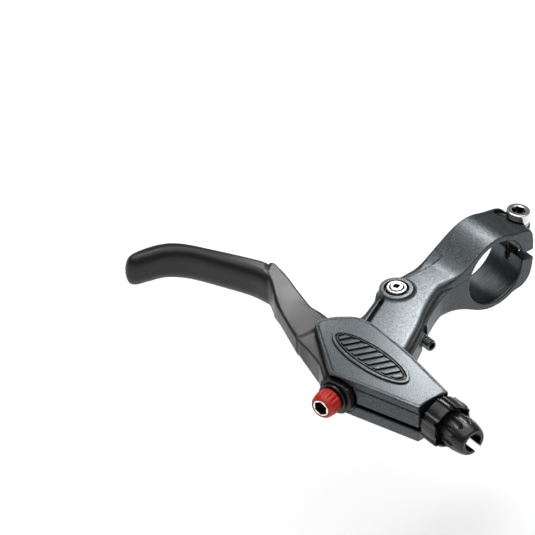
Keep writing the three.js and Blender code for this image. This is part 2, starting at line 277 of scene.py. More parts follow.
# ---------------------------------------------------------------- turned and swept meshes
def turned(name, profile, placement, steps=72):
    """Solid turned about local z from a closed profile of (radius, z) points."""
    made = bmesh.new()
    rings = []
    for k in range(steps):
        angle = 2 * math.pi * k / steps
        rings.append([made.verts.new((r * math.cos(angle), r * math.sin(angle), z)) for r, z in profile])
    for ring, after in zip(rings, rings[1:] + rings[:1]):
        for i in range(len(profile)):
            j = (i + 1) % len(profile)
            made.faces.new((ring[i], after[i], after[j], ring[j]))
    bmesh.ops.remove_doubles(made, verts=made.verts, dist=1e-4)
    bmesh.ops.recalc_face_normals(made, faces=made.faces)
    made.transform(Matrix.Scale(MM, 4) @ placement)
    return finish_mesh(name, made)


def finish_mesh(name, made):
    data = bpy.data.meshes.new(name)
    made.to_mesh(data)
    made.free()
    data.shade_smooth()
    data.set_sharp_from_angle(angle=math.radians(38))
    return place(name, data)


def sleeve_profile(inner, outer, low, high, edge):
    corners = [(inner, low, edge), (outer, low, edge), (outer, high, edge), (inner, high, edge)]
    return rounded(corners, 3)


def coil(name, radius, wire, turns, low, high, placement, steps=36, sides=12):
    """Round wire wound in a helix about local z, with its ends ground off square."""
    made = bmesh.new()
    rings = []
    total = int(turns * steps)
    for k in range(total + 1):
        angle = 2 * math.pi * k / steps
        height = low + (high - low) * k / total
        ring = []
        for s in range(sides):
            tilt = 2 * math.pi * s / sides
            out = radius + wire * math.cos(tilt)
            ring.append(made.verts.new((out * math.cos(angle), out * math.sin(angle),
                                        height + wire * math.sin(tilt))))
        rings.append(ring)
    for ring, after in zip(rings, rings[1:]):
        for i in range(sides):
            j = (i + 1) % sides
            made.faces.new((ring[i], after[i], after[j], ring[j]))
    made.faces.new(rings[0])
    made.faces.new(rings[-1])
    bmesh.ops.recalc_face_normals(made, faces=made.faces)
    made.transform(Matrix.Scale(MM, 4) @ placement)
    return finish_mesh(name, made)


# ---------------------------------------------------------------- frames
def axes(x, y, z, origin):
    placement = Matrix((x, y, z)).transposed().to_4x4()
    placement.translation = origin
    return placement


jaw_up = Vector((0, math.sin(JAW_TILT), math.cos(JAW_TILT)))
jaw_back = Vector((0, math.cos(JAW_TILT), -math.sin(JAW_TILT)))
dial_back = Vector((-math.sin(DIAL_ANGLE), math.cos(DIAL_ANGLE), 0))
dial_side = Vector((math.cos(DIAL_ANGLE), math.sin(DIAL_ANGLE), 0))
BOLT = axes(Vector((1, 0, 0)), jaw_back, jaw_up, jaw_back * BOLT_BACK)
PIVOT = Matrix.Translation((0, PIVOT_Y, 0))
DIAL = axes(dial_side, Vector((0, 0, -1)), dial_back, Vector(DIAL_ORIGIN))
ADJUSTER = axes(Vector((0, 1, 0)), Vector((0, 0, 1)), Vector((1, 0, 0)),
                Vector((0, ADJUSTER_Y, ADJUSTER_Z)))
REACH = axes(Vector((0, 1, 0)), Vector((0, 0, 1)), Vector((1, 0, 0)), Vector((0, REACH_Y, REACH_Z)))


def on_dial(along, side):
    point = Vector(DIAL_ORIGIN) + dial_back * along + dial_side * side
    return point.x, point.y


def within(space, placement):
    """The space's points in a placement's own frame."""
    to_local = placement.inverted()
    return [sum(to_local[row][k] * v for k, v in enumerate((space.x, space.y, space.z)))
            + to_local[row][3] for row in range(3)]


# ---------------------------------------------------------------- materials
def tree(name):
    material = bpy.data.materials.new(name)
    material.use_nodes = True
    nodes = material.node_tree.nodes
    return material, nodes, material.node_tree.links, nodes["Principled BSDF"]


def wired(nodes, links, kind, inputs=(), **settings):
    """A node with its settings and inputs set; an input is a value or another node's output."""
    node = nodes.new(kind)
    for key, value in settings.items():
        setattr(node, key, value)
    for key, value in dict(inputs).items():
        if hasattr(value, "is_linked"):
            links.new(value, node.inputs[key])
        else:
            node.inputs[key].default_value = value
    return node


def ramped(nodes, links, fac, stops):
    node = wired(nodes, links, "ShaderNodeValToRGB", {"Fac": fac})
    elements = node.color_ramp.elements
    while len(elements) < len(stops):
        elements.new(0.5)
    for element, (at, color) in zip(elements, stops):
        element.position = at
        element.color = (*color, 1)
    return node.outputs["Color"]


def grey(v):
    return (v, v, v)


def coated(name, base, metallic, roughness, grain, grain_depth, spread, specular=0.5):
    """Painted or moulded finish: speckled colour, slow variation, fine grain and painted shade darkening the
    colour in crevices.
    """
    material, nodes, links, shader = tree(name)
    at = wired(nodes, links, "ShaderNodeTexCoord").outputs["Object"]
    speck = wired(nodes, links, "ShaderNodeTexNoise", {"Vector": at, "Scale": grain, "Detail": 2.0,
                                                       "Roughness": 0.6}).outputs["Fac"]
    slow = wired(nodes, links, "ShaderNodeTexNoise", {"Vector": at, "Scale": 90.0,
                                                      "Detail": 3.0}).outputs["Fac"]
    dark = tuple(c * (1 - spread) for c in base)
    light = tuple(c * (1 + spread) for c in base)
    color = ramped(nodes, links, speck, [(0.36, dark), (0.5, base), (0.64, light)])
    # Ambient occlusion darkens the base colour in crevices and recesses: this is painted shade.
    open_sky = wired(nodes, links, "ShaderNodeAmbientOcclusion", {"Distance": 0.0016}, samples=8)
    painted_crevice_shade = ramped(nodes, links, open_sky.outputs["AO"], [(0.25, grey(0.08)), (0.85, grey(1))])
    shaded = wired(nodes, links, "ShaderNodeMix", data_type="RGBA", blend_type="MULTIPLY")
    shaded.inputs[0].default_value = 1.0
    links.new(color, shaded.inputs[6])
    links.new(painted_crevice_shade, shaded.inputs[7])
    links.new(shaded.outputs[2], shader.inputs["Base Color"])
    shine = wired(nodes, links, "ShaderNodeMapRange",
                  {"Value": slow, "From Min": 0.3, "From Max": 0.7, "To Min": roughness - 0.03,
                   "To Max": roughness + 0.04}).outputs["Result"]
    links.new(shine, shader.inputs["Roughness"])
    bump = wired(nodes, links, "ShaderNodeBump", {"Height": speck, "Strength": grain_depth,
                                                  "Distance": 0.00004})
    links.new(bump.outputs["Normal"], shader.inputs["Normal"])
    shader.inputs["Metallic"].default_value = metallic
    shader.inputs["Specular IOR Level"].default_value = specular
    return material


def metal(name, base, roughness, lathe_axis=None, line_scale=6000.0, depth=0.25, spread=0.12):
    """Bare metal with fine tool lines across lathe_axis, or an even brushed grain."""
    material, nodes, links, shader = tree(name)
    at = wired(nodes, links, "ShaderNodeTexCoord").outputs["Object"]
    stretch = {None: (1, 1, 1), "X": (1, 0.02, 0.02), "Y": (0.02, 1, 0.02), "Z": (0.02, 0.02, 1)}
    lines = wired(nodes, links, "ShaderNodeMapping", {"Vector": at, "Scale": stretch[lathe_axis]})
    fine = wired(nodes, links, "ShaderNodeTexNoise",
                 {"Vector": lines.outputs["Vector"], "Scale": line_scale, "Detail": 3.0,
                  "Roughness": 0.65}).outputs["Fac"]
    slow = wired(nodes, links, "ShaderNodeTexNoise", {"Vector": at, "Scale": 260.0,
                                                      "Detail": 4.0}).outputs["Fac"]
    dark = tuple(c * (1 - spread) for c in base)
    light = tuple(min(c * (1 + spread), 1) for c in base)
    links.new(ramped(nodes, links, slow, [(0.35, dark), (0.65, light)]), shader.inputs["Base Color"])
    shine = wired(nodes, links, "ShaderNodeMapRange",
                  {"Value": fine, "From Min": 0.3, "From Max": 0.7, "To Min": roughness * 0.75,
                   "To Max": roughness * 1.25}).outputs["Result"]
    links.new(shine, shader.inputs["Roughness"])
    bump = wired(nodes, links, "ShaderNodeBump", {"Height": fine, "Strength": depth,
                                                  "Distance": 0.00005})
    links.new(bump.outputs["Normal"], shader.inputs["Normal"])
    shader.inputs["Metallic"].default_value = 1.0
    return material


PAINT = coated("grey_paint_satin", (0.064, 0.071, 0.075), 0.9, 0.38, 2600.0, 0.5, 0.42, 0.5)
BLACK = coated("black_coat_satin", (0.006, 0.006, 0.0058), 0.0, 0.36, 4200.0, 0.5, 0.4, 0.36)
GLOSS_BLACK = coated("black_plastic", (0.006, 0.006, 0.0062), 0.0, 0.24, 1800.0, 0.12, 0.2, 0.4)
RED = coated("red_plastic", (0.38, 0.018, 0.01), 0.0, 0.34, 1500.0, 0.15, 0.1, 0.25)
DARK_BORE = metal("machined_bore", (0.075, 0.08, 0.084), 0.3, "X", 4200.0, 0.9)
BRIGHT = metal("polished_steel", (0.72, 0.71, 0.69), 0.16, None, 2600.0, 0.04)
OXIDE = metal("black_oxide_steel", (0.12, 0.12, 0.122), 0.26, "X", 5200.0, 0.2)
SATIN = metal("satin_steel", (0.34, 0.34, 0.335), 0.3, None, 3000.0, 0.1)
SOCKET = metal("socket_shadow", (0.05, 0.032, 0.018), 0.45, None, 3600.0, 0.3)
# Dark steel standing in for the shade on the bolt shank inside the slit and inside its socket: painted shade.
BOLT_SHADE = metal("painted_bolt_shade", (0.035, 0.03, 0.024), 0.4, None, 3600.0, 0.3)
SPRING_STEEL = metal("spring_steel", (0.42, 0.41, 0.4), 0.28, None, 3000.0, 0.15)
BRONZE = metal("sintered_bronze", (0.46, 0.28, 0.12), 0.42, None, 3600.0, 0.35, 0.2)
RUBBER = coated("black_rubber", (0.01, 0.01, 0.01), 0.0, 0.7, 1500.0, 0.3, 0.2)


def dress(piece, node, body, slot, *materials):
    for material in materials:
        piece.data.materials.append(material)
    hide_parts(node)
    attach(piece, body)
    return piece


# ---------------------------------------------------------------- bracket
def arm_field(s):
    """Clamp ring flowing into the arm, before anything is cut from it."""
    y, z = s.y, s.z
    back = y * math.cos(JAW_TILT) - z * math.sin(JAW_TILT)
    up = y * math.sin(JAW_TILT) + z * math.cos(JAW_TILT)
    ring = np.hypot(y, z) - CLAMP_RADIUS
    beam = np.maximum(slab(y - 2, z, ARM_BOTTOM, ARM_TOP), -57 - y)
    side = join(ring, beam, 7.0)
    jaws = outline(back, up, rounded([
        (4, 12.4), (4, -10.2), (JAW_BACK, -10.2, 7.5), (JAW_BACK, 2), (14.8, 2), (14.6, 6, 2),
        (13.4, 10.6, 2), (9, 12.4, 2.5)]))
    side = join(side, jaws, 1.0)
    plan = outline(s.x, y, rounded([
        (-7.3, 20), (-7.3, -21, 3), (-7, -30, 2), (-7, -36.5, 2.5), (-3, -43, 3), (0, -49.7, 1), (2, -57),
        (26, -57), (24, -50.5, 2), (17, -38.5, 5), (12.8, -33, 2), (8.8, -26, 4), (7.3, -21.5, 3),
        (7.3, 20)]))
    softness = 0.45 + 2.5 * ramp(-13, -24, y)
    return meet(side, plan, softness)


def crown_field(s):
    """Raised crest in front of the bolt head and the boss under it."""
    bx, by, bz = within(s, BOLT)
    crest = outline(bx, by, rounded([(-7.1, -10), (7.1, -10), (7.1, 0.9, 3), (-7.1, 0.9, 3)]))
    crest = meet(slab(crest, bz, 2, CROWN_TOP, 0.4), np.hypot(s.y, s.z + 0.6) - CROWN_RADIUS, 1.2)
    boss = rod(np.hypot(bx, by), bz, 4.3, SLIT_HIGH, HEAD_SEAT, 0.4)
    return join(crest, boss, 1.5)


def shield_outline(s):
    return outline(s.x, s.y, rounded([
        (-2.4, -58.4, 2), (1.9, -53, 2), (6.5, -51.4, 2), (24, -51.8, 6), (NOSE_END, -54.9),
        (NOSE_END, -66.6), (17.7, -76.6, 1.2), (-3.2, -65.1, 1), (-4.1, -62.6, 1.5)]))


def housing_field(s):
    plan = shield_outline(s)
    dome = 0.25 * ((s.x - 24) / 24) ** 2
    lid = slab(plan, s.z + dome, 4.4, HOUSING_TOP, 0.3)
    rim = np.maximum(np.abs(plan + 0.9) - 0.14, np.abs(s.z + dome - HOUSING_TOP) - 0.25)
    lid = cut(lid, rim, 0.15)
    walls = slab(plan + 0.35 + 0.5 * ramp(-3, -8, s.z), s.z, HOUSING_BOTTOM, 5.2, 0.7)
    shell = join(lid, walls, 0.1)
    shell = cut(shell, np.hypot(plan + 0.2, s.z + dome - 4.3) - 0.5, 0.15)
    hollow = np.hypot(s.x - 68.2, s.y + 60.7) - 22.1
    return cut(shell, hollow, 0.3)


def badge_field(s):
    """Raised oval with a sunken field and plain slanting ribs."""
    dx, dy = s.x - BADGE_CENTRE[0], s.y - BADGE_CENTRE[1]
    u = dx * math.cos(BADGE_ANGLE) + dy * math.sin(BADGE_ANGLE)
    v = dy * math.cos(BADGE_ANGLE) - dx * math.sin(BADGE_ANGLE)

    def oval(shrink):
        a, b = BADGE_RADII[0] - shrink, BADGE_RADII[1] - shrink
        scaled = np.hypot(u / a, v / b)
        return (scaled - 1) * scaled / np.maximum(np.hypot(u / a ** 2, v / b ** 2), 1e-6)

    plate = slab(oval(0), s.z, HOUSING_TOP - 0.5, HOUSING_TOP + 0.5, 0.15)
    line = np.maximum(np.abs(oval(1.3)) - 0.2, HOUSING_TOP - 0.1 - s.z)
    plate = cut(plate, line, 0.05)
    field = slab(oval(1.9), s.z, HOUSING_TOP - 0.1, HOUSING_TOP + 2, 0.05)
    lean = u - 0.5 * v
    folded = np.abs(lean - RIB_PITCH * np.round(lean / RIB_PITCH)) - 0.72
    ribs = slab(np.maximum(folded, oval(2.3)), s.z, HOUSING_TOP - 0.5, HOUSING_TOP + 0.58, 0.15)
    return join(cut(plate, field, 0.05), ribs, 0.05)


def bracket_field(s):
    x, y, z = s.x, s.y, s.z
    bx, by, bz = within(s, BOLT)
    dx, dy, dz = within(s, DIAL)
    px, py = x, y - PIVOT_Y
    from_pivot = np.hypot(px, py)
    rim = np.hypot(y, z)
    body = arm_field(s)

    ledge = outline(x, y, rounded([(-9, -13), (-2.8, -14), (-2.8, -29, 1), (0.5, -41, 1), (5.6, -51),
                                   (5, -57), (-9, -57)]))
    depth = 0.8 * ramp(-13, -23, y) * ramp(1.0, 3.5, z)
    body = meet(body, join(body + depth, -ledge, 0.15), 0.2)
    cove = np.hypot(ledge - 0.1, z - 5.5) - 0.35 * ramp(-15, -21, y) - 0.6 * ramp(-38, -41, y)
    body = cut(body, cove, 0.2)

    edge_line = outline(x, y, rounded([(-30, 20), (-30, -57), (25.8, -57), (24, -50.5, 2),
                                       (17, -38.5, 5), (12.8, -33, 2), (8.8, -26, 4), (7.3, -21.5, 3),
                                       (7.3, 20)]))
    groove = np.hypot(edge_line + 0.1, (z - 3.5) * 0.9) - 1.6 * ramp(-17, -26, y)
    body = cut(body, groove, 0.35)

    body = join(body, crown_field(s), 1.2)
    body = join(body, slab(from_pivot - 5.3, z, -8, 7.35, 0.3), 1.6)
    body = join(body, housing_field(s), 0.3)
    bore = rim - BAR_RADIUS - np.maximum(np.abs(x) - (CLAMP_HALF - BORE_CHAMFER), 0)
    body = cut(body, bore)
    slit = brick(bx, by, bz, (0, 1.8, (SLIT_LOW + SLIT_HIGH) / 2), (30, 14, SLIT_HIGH - SLIT_LOW))
    body = cut(body, slit, 0.25)
    relief = brick(bx, by, bz, (0, -4.3, SLIT_HIGH + 1.6), (12.4, 3.6, 6.4), 0.4)
    body = cut(body, relief, 0.2)
    body = cut(body, rod(np.hypot(bx, by), bz, BOLT_RADIUS + GAP, -12, 16))
    seat = rod(np.hypot(bx, by), bz, SEAT_RADIUS, HEAD_SEAT, 20)
    along = np.clip(-(bx * 0.83 + by * 0.56), 0, 5.0)
    pocket = rod(np.hypot(bx + 0.83 * along, by + 0.56 * along), bz, 2.7, HEAD_SEAT, 20, 0.3)
    body = cut(body, join(seat, pocket, 1.0), 0.15)

    room = outline(x, y, rounded([
        (6.5, -28.5, 1), (10.4, -34.5, 1), (14.8, -40, 1), (19.6, -46.5, 1), (22.6, -51.2, 1),
        (23.5, -54.9), (39, -55.9), (39, -67.6), (24.6, -72.2), (24.6, -82), (-30, -82), (-30, -33)]))
    body = cut(body, slab(room, z, -SLOT_HALF, SLOT_HALF - 0.4), 0.1)
    body = cut(body, slab(from_pivot - 7.4, z, -SLOT_HALF, SLOT_HALF), 0.1)
    body = cut(body, rod(np.hypot(dx, dy), dz, DIAL_BOSS_RADIUS + 0.6, -4, 9), 0.3)
    sweep = outline(x, y, rounded([(23, -82), (21.4, -69.5), (14, -71.6), (6, -73.4), (2, -82)]))
    body = cut(body, slab(sweep, z, HOUSING_BOTTOM - 1, -SLOT_HALF + 0.5), 0.2)

    body = cut(body, slab(from_pivot - PIN_RADIUS - 0.1, z, -5, 12))
    body = cut(body, slab(from_pivot - 3.75, z, FLANGE_LOW - 0.6, 12), 0.15)
    body = cut(body, slab(from_pivot - 1.6, z, -12, 0))
    ax, ay, az = within(s, ADJUSTER)
    body = cut(body, rod(np.hypot(ax, ay), az, THREAD_RADIUS + GAP, 34, 52))
    body = cut(body, brick(ax, ay, az, (-10, -1.7, 38), (20, CABLE_SLOT, 27)), 0.1)
    rx, ry, rz = within(s, REACH)
    body = cut(body, rod(np.hypot(rx, ry), rz, REACH_RADIUS + GAP, 8, 24))
    notch = np.hypot(rx * 0.95, (ry - 1.1) * 0.62)
    return cut(body, rod(notch, rz, 2.4, 12.6, 24, 0.2), 0.2)


def make_bracket():
    s = Space((-9, -79, -14.5), (49, 18.5, 17), 0.3)
    piece = s.mesh("bracket_casting", bracket_field(s))
    dress(piece, "bracket", "bracket", "grey_paint", PAINT, DARK_BORE)
    reach = BAR_RADIUS + BORE_CHAMFER + 0.25
    second_finish(piece, Matrix.Identity(4), lambda x, y, z: np.hypot(y, z) < reach)

    s = Space((3.7, -69.5, HOUSING_TOP - 0.8), (36.7, -55.7, HOUSING_TOP + 0.9), 0.12)
    badge = s.mesh("bracket_badge", badge_field(s))
    dress(badge, "bracket", "bracket", "grey_paint", PAINT)


# ---------------------------------------------------------------- lever blade
def pillow(flat, height, half, out, tall):
    """Outline field made solid to plus or minus half, its edges elliptical, out wide and tall high."""
    a = np.maximum((flat + out) / out, 0)
    b = np.maximum((np.abs(height) - half + tall) / tall, 0)
    curved = (np.hypot(a, b) - 1) * out
    inside = np.maximum(flat, np.abs(height) - half)
    return np.where((a > 0) & (b > 0), curved, inside)


def blade_field(s):
    x, y, z = s.x, s.y, s.z
    finger_line = outline(x, y, flowing([
        (-28.4, -60.9), (-30.5, -61.6), (-37, -63.1), (-46.5, -67.6), (-55.2, -72.2), (-59.8, -76.8),
        (-61.6, -82.3), (-62.8, -86.6), (-65.3, -88.7), (-67.9, -87.0), (-68.2, -82.5), (-66.5, -75.4),
        (-62.4, -69.9), (-52, -63.2), (-41.4, -57.0), (-37.4, -55.2), (-35.2, -55.4), (-31.6, -57.9)]))
    tip = ramp(-58, -67, x)
    finger = pillow(finger_line, z, 6 - 0.3 * tip, 2.8, 4.3 + 1.2 * tip)

    front = [(-33, -59.2), (-27.4, -62.1), (-23.5, -64.3, 2), (-17.3, -67.4, 3), (-11.8, -69.5, 3),
             (-2.8, -71.9, 2), (2.4, -72.4, 2)]
    neck_line = outline(x, y, rounded([
        *front, (4, -62), (-3, -58.6), (-13, -58.4, 2), (-22, -56.6, 3), (-28, -55.2, 3), (-37, -54.4, 1.9)]))
    arc = np.hypot(x + 21.5, y + 67) - 18.3
    crest = 1.6 * ramp(-10, -38, x)
    neck = slab(np.maximum(neck_line, arc), z - crest, -SLOT_HALF - crest, SLOT_HALF - 0.5, 0.9)
    front_x, front_y = 0.331, 0.944
    inward = x * front_x + y * front_y - (-27.4 * front_x - 61.9 * front_y)
    belly = np.hypot(np.minimum(inward - 3.4 + 1.2 * ramp(-16, -30, x), 0),
                     np.minimum(z - 0.6, 0) * 0.9) - 4.9
    neck = meet(neck, belly, 0.5)
    blade = join(finger, neck, 0.8)

    plate_line = outline(x, y, rounded([
        (-5.2, -38), (-1.4, -43.5, 1), (0.8, -49.5, 1), (0.4, -54), (-3.6, -57.7), (-9, -57.9),
        *front[2:], (10, -74.2), on_dial(1, -4.2), on_dial(1, 5), on_dial(6.5, 5),
        on_dial(6.5, -4), on_dial(26.5, -4), on_dial(26.5, 3.6), on_dial(30.3, 3.4), on_dial(30.3, -3),
        (8.6, -44, 1), (7.3, -41), (7.3, -35.5)]))
    plate = slab(plate_line, z, -PLATE_HALF, PLATE_HALF, 0.4)
    plate = meet(plate, belly, 0.5)
    from_pivot = np.hypot(x, y - PIVOT_Y)
    plate = join(plate, slab(from_pivot - EYE_RADIUS, z, -PLATE_HALF, PLATE_HALF, 0.3), 0.5)
    blade = join(blade, plate, 1.2)

    dx, dy, dz = within(s, DIAL)
    boss = rod(np.hypot(dx, dy), dz, DIAL_BOSS_RADIUS, 0.5, 6.5, 0.4)
    boss = np.maximum(boss, z - (SLOT_HALF - 0.2))
    boss = np.maximum(boss, -5.1 - dx)
    blade = join(blade, boss, 0.4)
    blade = cut(blade, slab(from_pivot - BUSH_RADIUS - 0.1, z, -12, 12))
    blade = cut(blade, slab(from_pivot - 5.4, z, -12, -1.5))
    spindle = np.hypot(dx, dy)
    blade = cut(blade, rod(spindle, dz, SPINDLE_RADIUS + 0.15, -4, 36))
    return cut(blade, rod(spindle, dz, SPINDLE_RADIUS + 0.5, 0, 2.2))


def make_blade():
    s = Space((-69.5, -90.5, -7), (27, -27.5, 7), 0.3)
    piece = s.mesh("blade_forging", blade_field(s))
    dress(piece, "lever_blade", "lever", "black_coat", BLACK)


# ---------------------------------------------------------------- screws, pins and bushes
def thread(x, y, z, radius, pitch, depth, low, high):
    """Screw thread as a ripple on a rod's radius."""
    turn = np.arctan2(y, x) / (2 * math.pi)
    phase = z / pitch - turn
    saw = np.abs(phase - np.round(phase)) * 2
    return rod(np.hypot(x, y) + depth * saw, z, radius, low, high, 0.25)


def make_clamp_bolt():
    s = Space((-4.2, -4.2, -10), (4.2, 4.2, HEAD_SEAT + 4.8), 0.1)
    reach = np.hypot(s.x, s.y)
    head_low = HEAD_SEAT + 0.7
    head_high = head_low + HEAD_HEIGHT
    head = rod(reach, s.z, HEAD_RADIUS, head_low, head_high, 0.42)
    socket = np.maximum(hexagon(s.x, s.y, 3.9), head_low + 1.6 - s.z)
    head = cut(head, socket, 0.1)
    head = cut(head, reach - 2.3 + (head_high - s.z) * 1.4, 0.1)
    shank = thread(s.x, s.y, s.z, BOLT_RADIUS, 0.8, 0.32, -9.6, head_low + 0.5)
    piece = s.mesh("clamp_bolt_m4", join(head, shank, 0.2), BOLT)
    dress(piece, "clamp_bolt", "bracket", "steel", BRIGHT, BOLT_SHADE)
    # The shank and the inside of the socket take the painted shade material.
    second_finish(piece, BOLT, lambda x, y, z: (np.hypot(x, y) < 2.15) & (z < head_high - 0.45))
    washer = turned("clamp_bolt_washer", sleeve_profile(BOLT_RADIUS + 0.2, 3.9, HEAD_SEAT + 0.1,
                                                        HEAD_SEAT + 0.6, 0.12), BOLT)
    dress(washer, "clamp_washer", "bracket", "steel", BRIGHT)


def make_pivot():
    profile = [(1.55, -4.8), (2.45, -4.8), (PIN_RADIUS, -4.65), (PIN_RADIUS, FLANGE_LOW)]
    profile += [(r, FLANGE_LOW + rise) for r, rise in (
        (3.1, 0), (3.2, 0.1), (3.2, 0.7), (3.05, 0.9), (2.75, 0.98), (2.4, 0.9), (2.3, 0.75),
        (2.3, -0.2), (1.55, -0.2))]
    dress(turned("pivot_sleeve", profile, PIVOT), "pivot_pin", "bracket", "steel", SATIN)
    s = Space((-2.4, -2.4, -8), (2.4, 2.4, 9.1), 0.08)
    reach = np.hypot(s.x, s.y)
    head = rod(reach, s.z, 2.08, FLANGE_LOW, FLANGE_LOW + 1.3, 0.3)
    head = cut(head, np.maximum(hexagon(s.x, s.y, 1.9), FLANGE_LOW + 0.3 - s.z), 0.08)
    shank = thread(s.x, s.y, s.z, 1.5, 0.5, 0.2, -7.6, FLANGE_LOW + 0.2)
    piece = s.mesh("pivot_screw_m3", join(head, shank, 0.1), PIVOT)
    dress(piece, "pivot_screw", "bracket", "steel", BRIGHT, SOCKET)
    second_finish(piece, PIVOT, lambda x, y, z: (np.hypot(x, y) < 1.05) & (z > FLANGE_LOW - 0.4))
    washer = turned("pivot_washer", sleeve_profile(PIN_RADIUS + 0.15, 5.4, 4.25, 4.75, 0.12), PIVOT)
    dress(washer, "upper_washer", "bracket", "steel", BRIGHT)
    for name, low, high in (("upper_bush", 0.1, PLATE_HALF), ("lower_bush", -PLATE_HALF, -0.1)):
        bush = turned(name + "_bronze", sleeve_profile(PIN_RADIUS + 0.05, BUSH_RADIUS, low, high, 0.2),
                      PIVOT)
        dress(bush, name, "lever", "bronze", BRONZE)
    spring = coil("return_spring_wire", 4.65, 0.35, 2.75, -4.4, -2.05, PIVOT)
    dress(spring, "return_spring", "bracket", "steel", SPRING_STEEL)


def make_reach_screw():
    s = Space((-2.2, -2.2, 7.2), (2.2, 2.2, 20.7), 0.08)
    body = thread(s.x, s.y, s.z, REACH_RADIUS, 0.9, 0.55, 7.6, 18.8)
    body = cut(body, np.maximum(hexagon(s.x, s.y, 2.2), 16.8 - s.z), 0.1)
    dress(s.mesh("reach_set_screw", body, REACH), "reach_screw", "reach_stop", "dark_steel", OXIDE)


# ---------------------------------------------------------------- leverage dial
def make_dial():
    s = Space((-4.8, -4.8, -6.6), (4.8, 4.8, -0.3), 0.1)
    reach = np.hypot(s.x, s.y)
    shape = outline(reach, s.z, flowing([(-1, -6.1), (2.6, -6.15), (3.3, -6.1), (3.85, -5.2), (4.12, -3.6),
                                         (4.1, -1.8), (3.85, -0.95), (3, -0.8), (-1, -0.8)], 5))
    cutters = flutes(s.x, s.y, 16, 4.32, 0.5) + 0.35 * np.maximum(-4.6 - s.z, 0)
    knob = cut(shape, cutters, 0.2)
    knob = cut(knob, rod(reach, s.z, 2.9, -8, -2.1))
    knob = cut(knob, reach - 2.2 + 0 * s.z)
    dress(s.mesh("dial_knob_fluted", knob, DIAL), "dial_knob", "dial", "red_plastic", RED)

    s = Space((-3.2, -3.2, -6.6), (3.2, 3.2, 33.1), 0.1)
    reach = np.hypot(s.x, s.y)
    spindle = join(rod(reach, s.z, 2.78, -6.25, -2.4, 0.25), rod(reach, s.z, SPINDLE_RADIUS, -3, 32.8, 0.3))
    spindle = cut(spindle, rod(np.abs(reach - 1.9), s.z, 0.6, 31.2, 32))
    socket = np.maximum(hexagon(s.x, s.y, 4.1), s.z + 3.6)
    spindle = cut(spindle, socket, 0.1)
    piece = s.mesh("dial_spindle_screw", spindle, DIAL)
    dress(piece, "dial_spindle", "dial", "steel", BRIGHT, SOCKET)
    second_finish(piece, DIAL, lambda x, y, z: (np.hypot(x, y) < 2.3) & (z > -6.0) & (z < -3))

    collar = turned("dial_collar_ring", sleeve_profile(SPINDLE_RADIUS + 0.2, 4.85, -0.6, 0.35, 0.2), DIAL)
    dress(collar, "dial_collar", "lever", "black_plastic", GLOSS_BLACK)
    seal = turned("dial_seal", rounded([(1.98, 0.65, 0.17), (2.33, 0.65, 0.17), (2.33, 1.55, 0.17),
                                        (1.98, 1.55, 0.17)], 3), DIAL, 48)
    dress(seal, "dial_o_ring", "dial", "rubber", RUBBER)

    s = Space((-3.3, -3.3, 31.1), (3.3, 3.3, 32.1), 0.08)
    clip = rod(np.hypot(s.x, s.y), s.z, 3, 31.35, 31.85, 0.1)
    clip = cut(clip, rod(np.hypot(s.x, s.y), s.z, 1.4, 31, 33))
    clip = cut(clip, brick(s.x, s.y, s.z, (0, 4, 31.6), (1.8, 8, 2)), 0.2)
    dress(s.mesh("spindle_e_clip", clip, DIAL), "spindle_clip", "dial", "dark_steel", OXIDE)

    s = Space((-3.9, -4.1, CARRIAGE_AT - 3.6), (7.4, 4.1, CARRIAGE_AT + 3.6), 0.14)
    block = brick(s.x, s.y, s.z, (1.8, 0, CARRIAGE_AT), (10.4, 7.2, 6.4), 0.5)
    block = cut(block, rod(np.hypot(s.x, s.y), s.z, SPINDLE_RADIUS + 0.1, 0, 40), 0.2)
    block = cut(block, rod(np.hypot(s.x - 5.3, s.z - CARRIAGE_AT), s.y, 2.6, -20, 20), 0.2)
    block = cut(block, brick(s.x, s.y, s.z, (10, 0, CARRIAGE_AT), (10, 1.8, 2.2)), 0.1)
    piece = s.mesh("cable_carriage_block", block, DIAL)
    dress(piece, "cable_carriage", "carriage", "bronze", BRONZE)


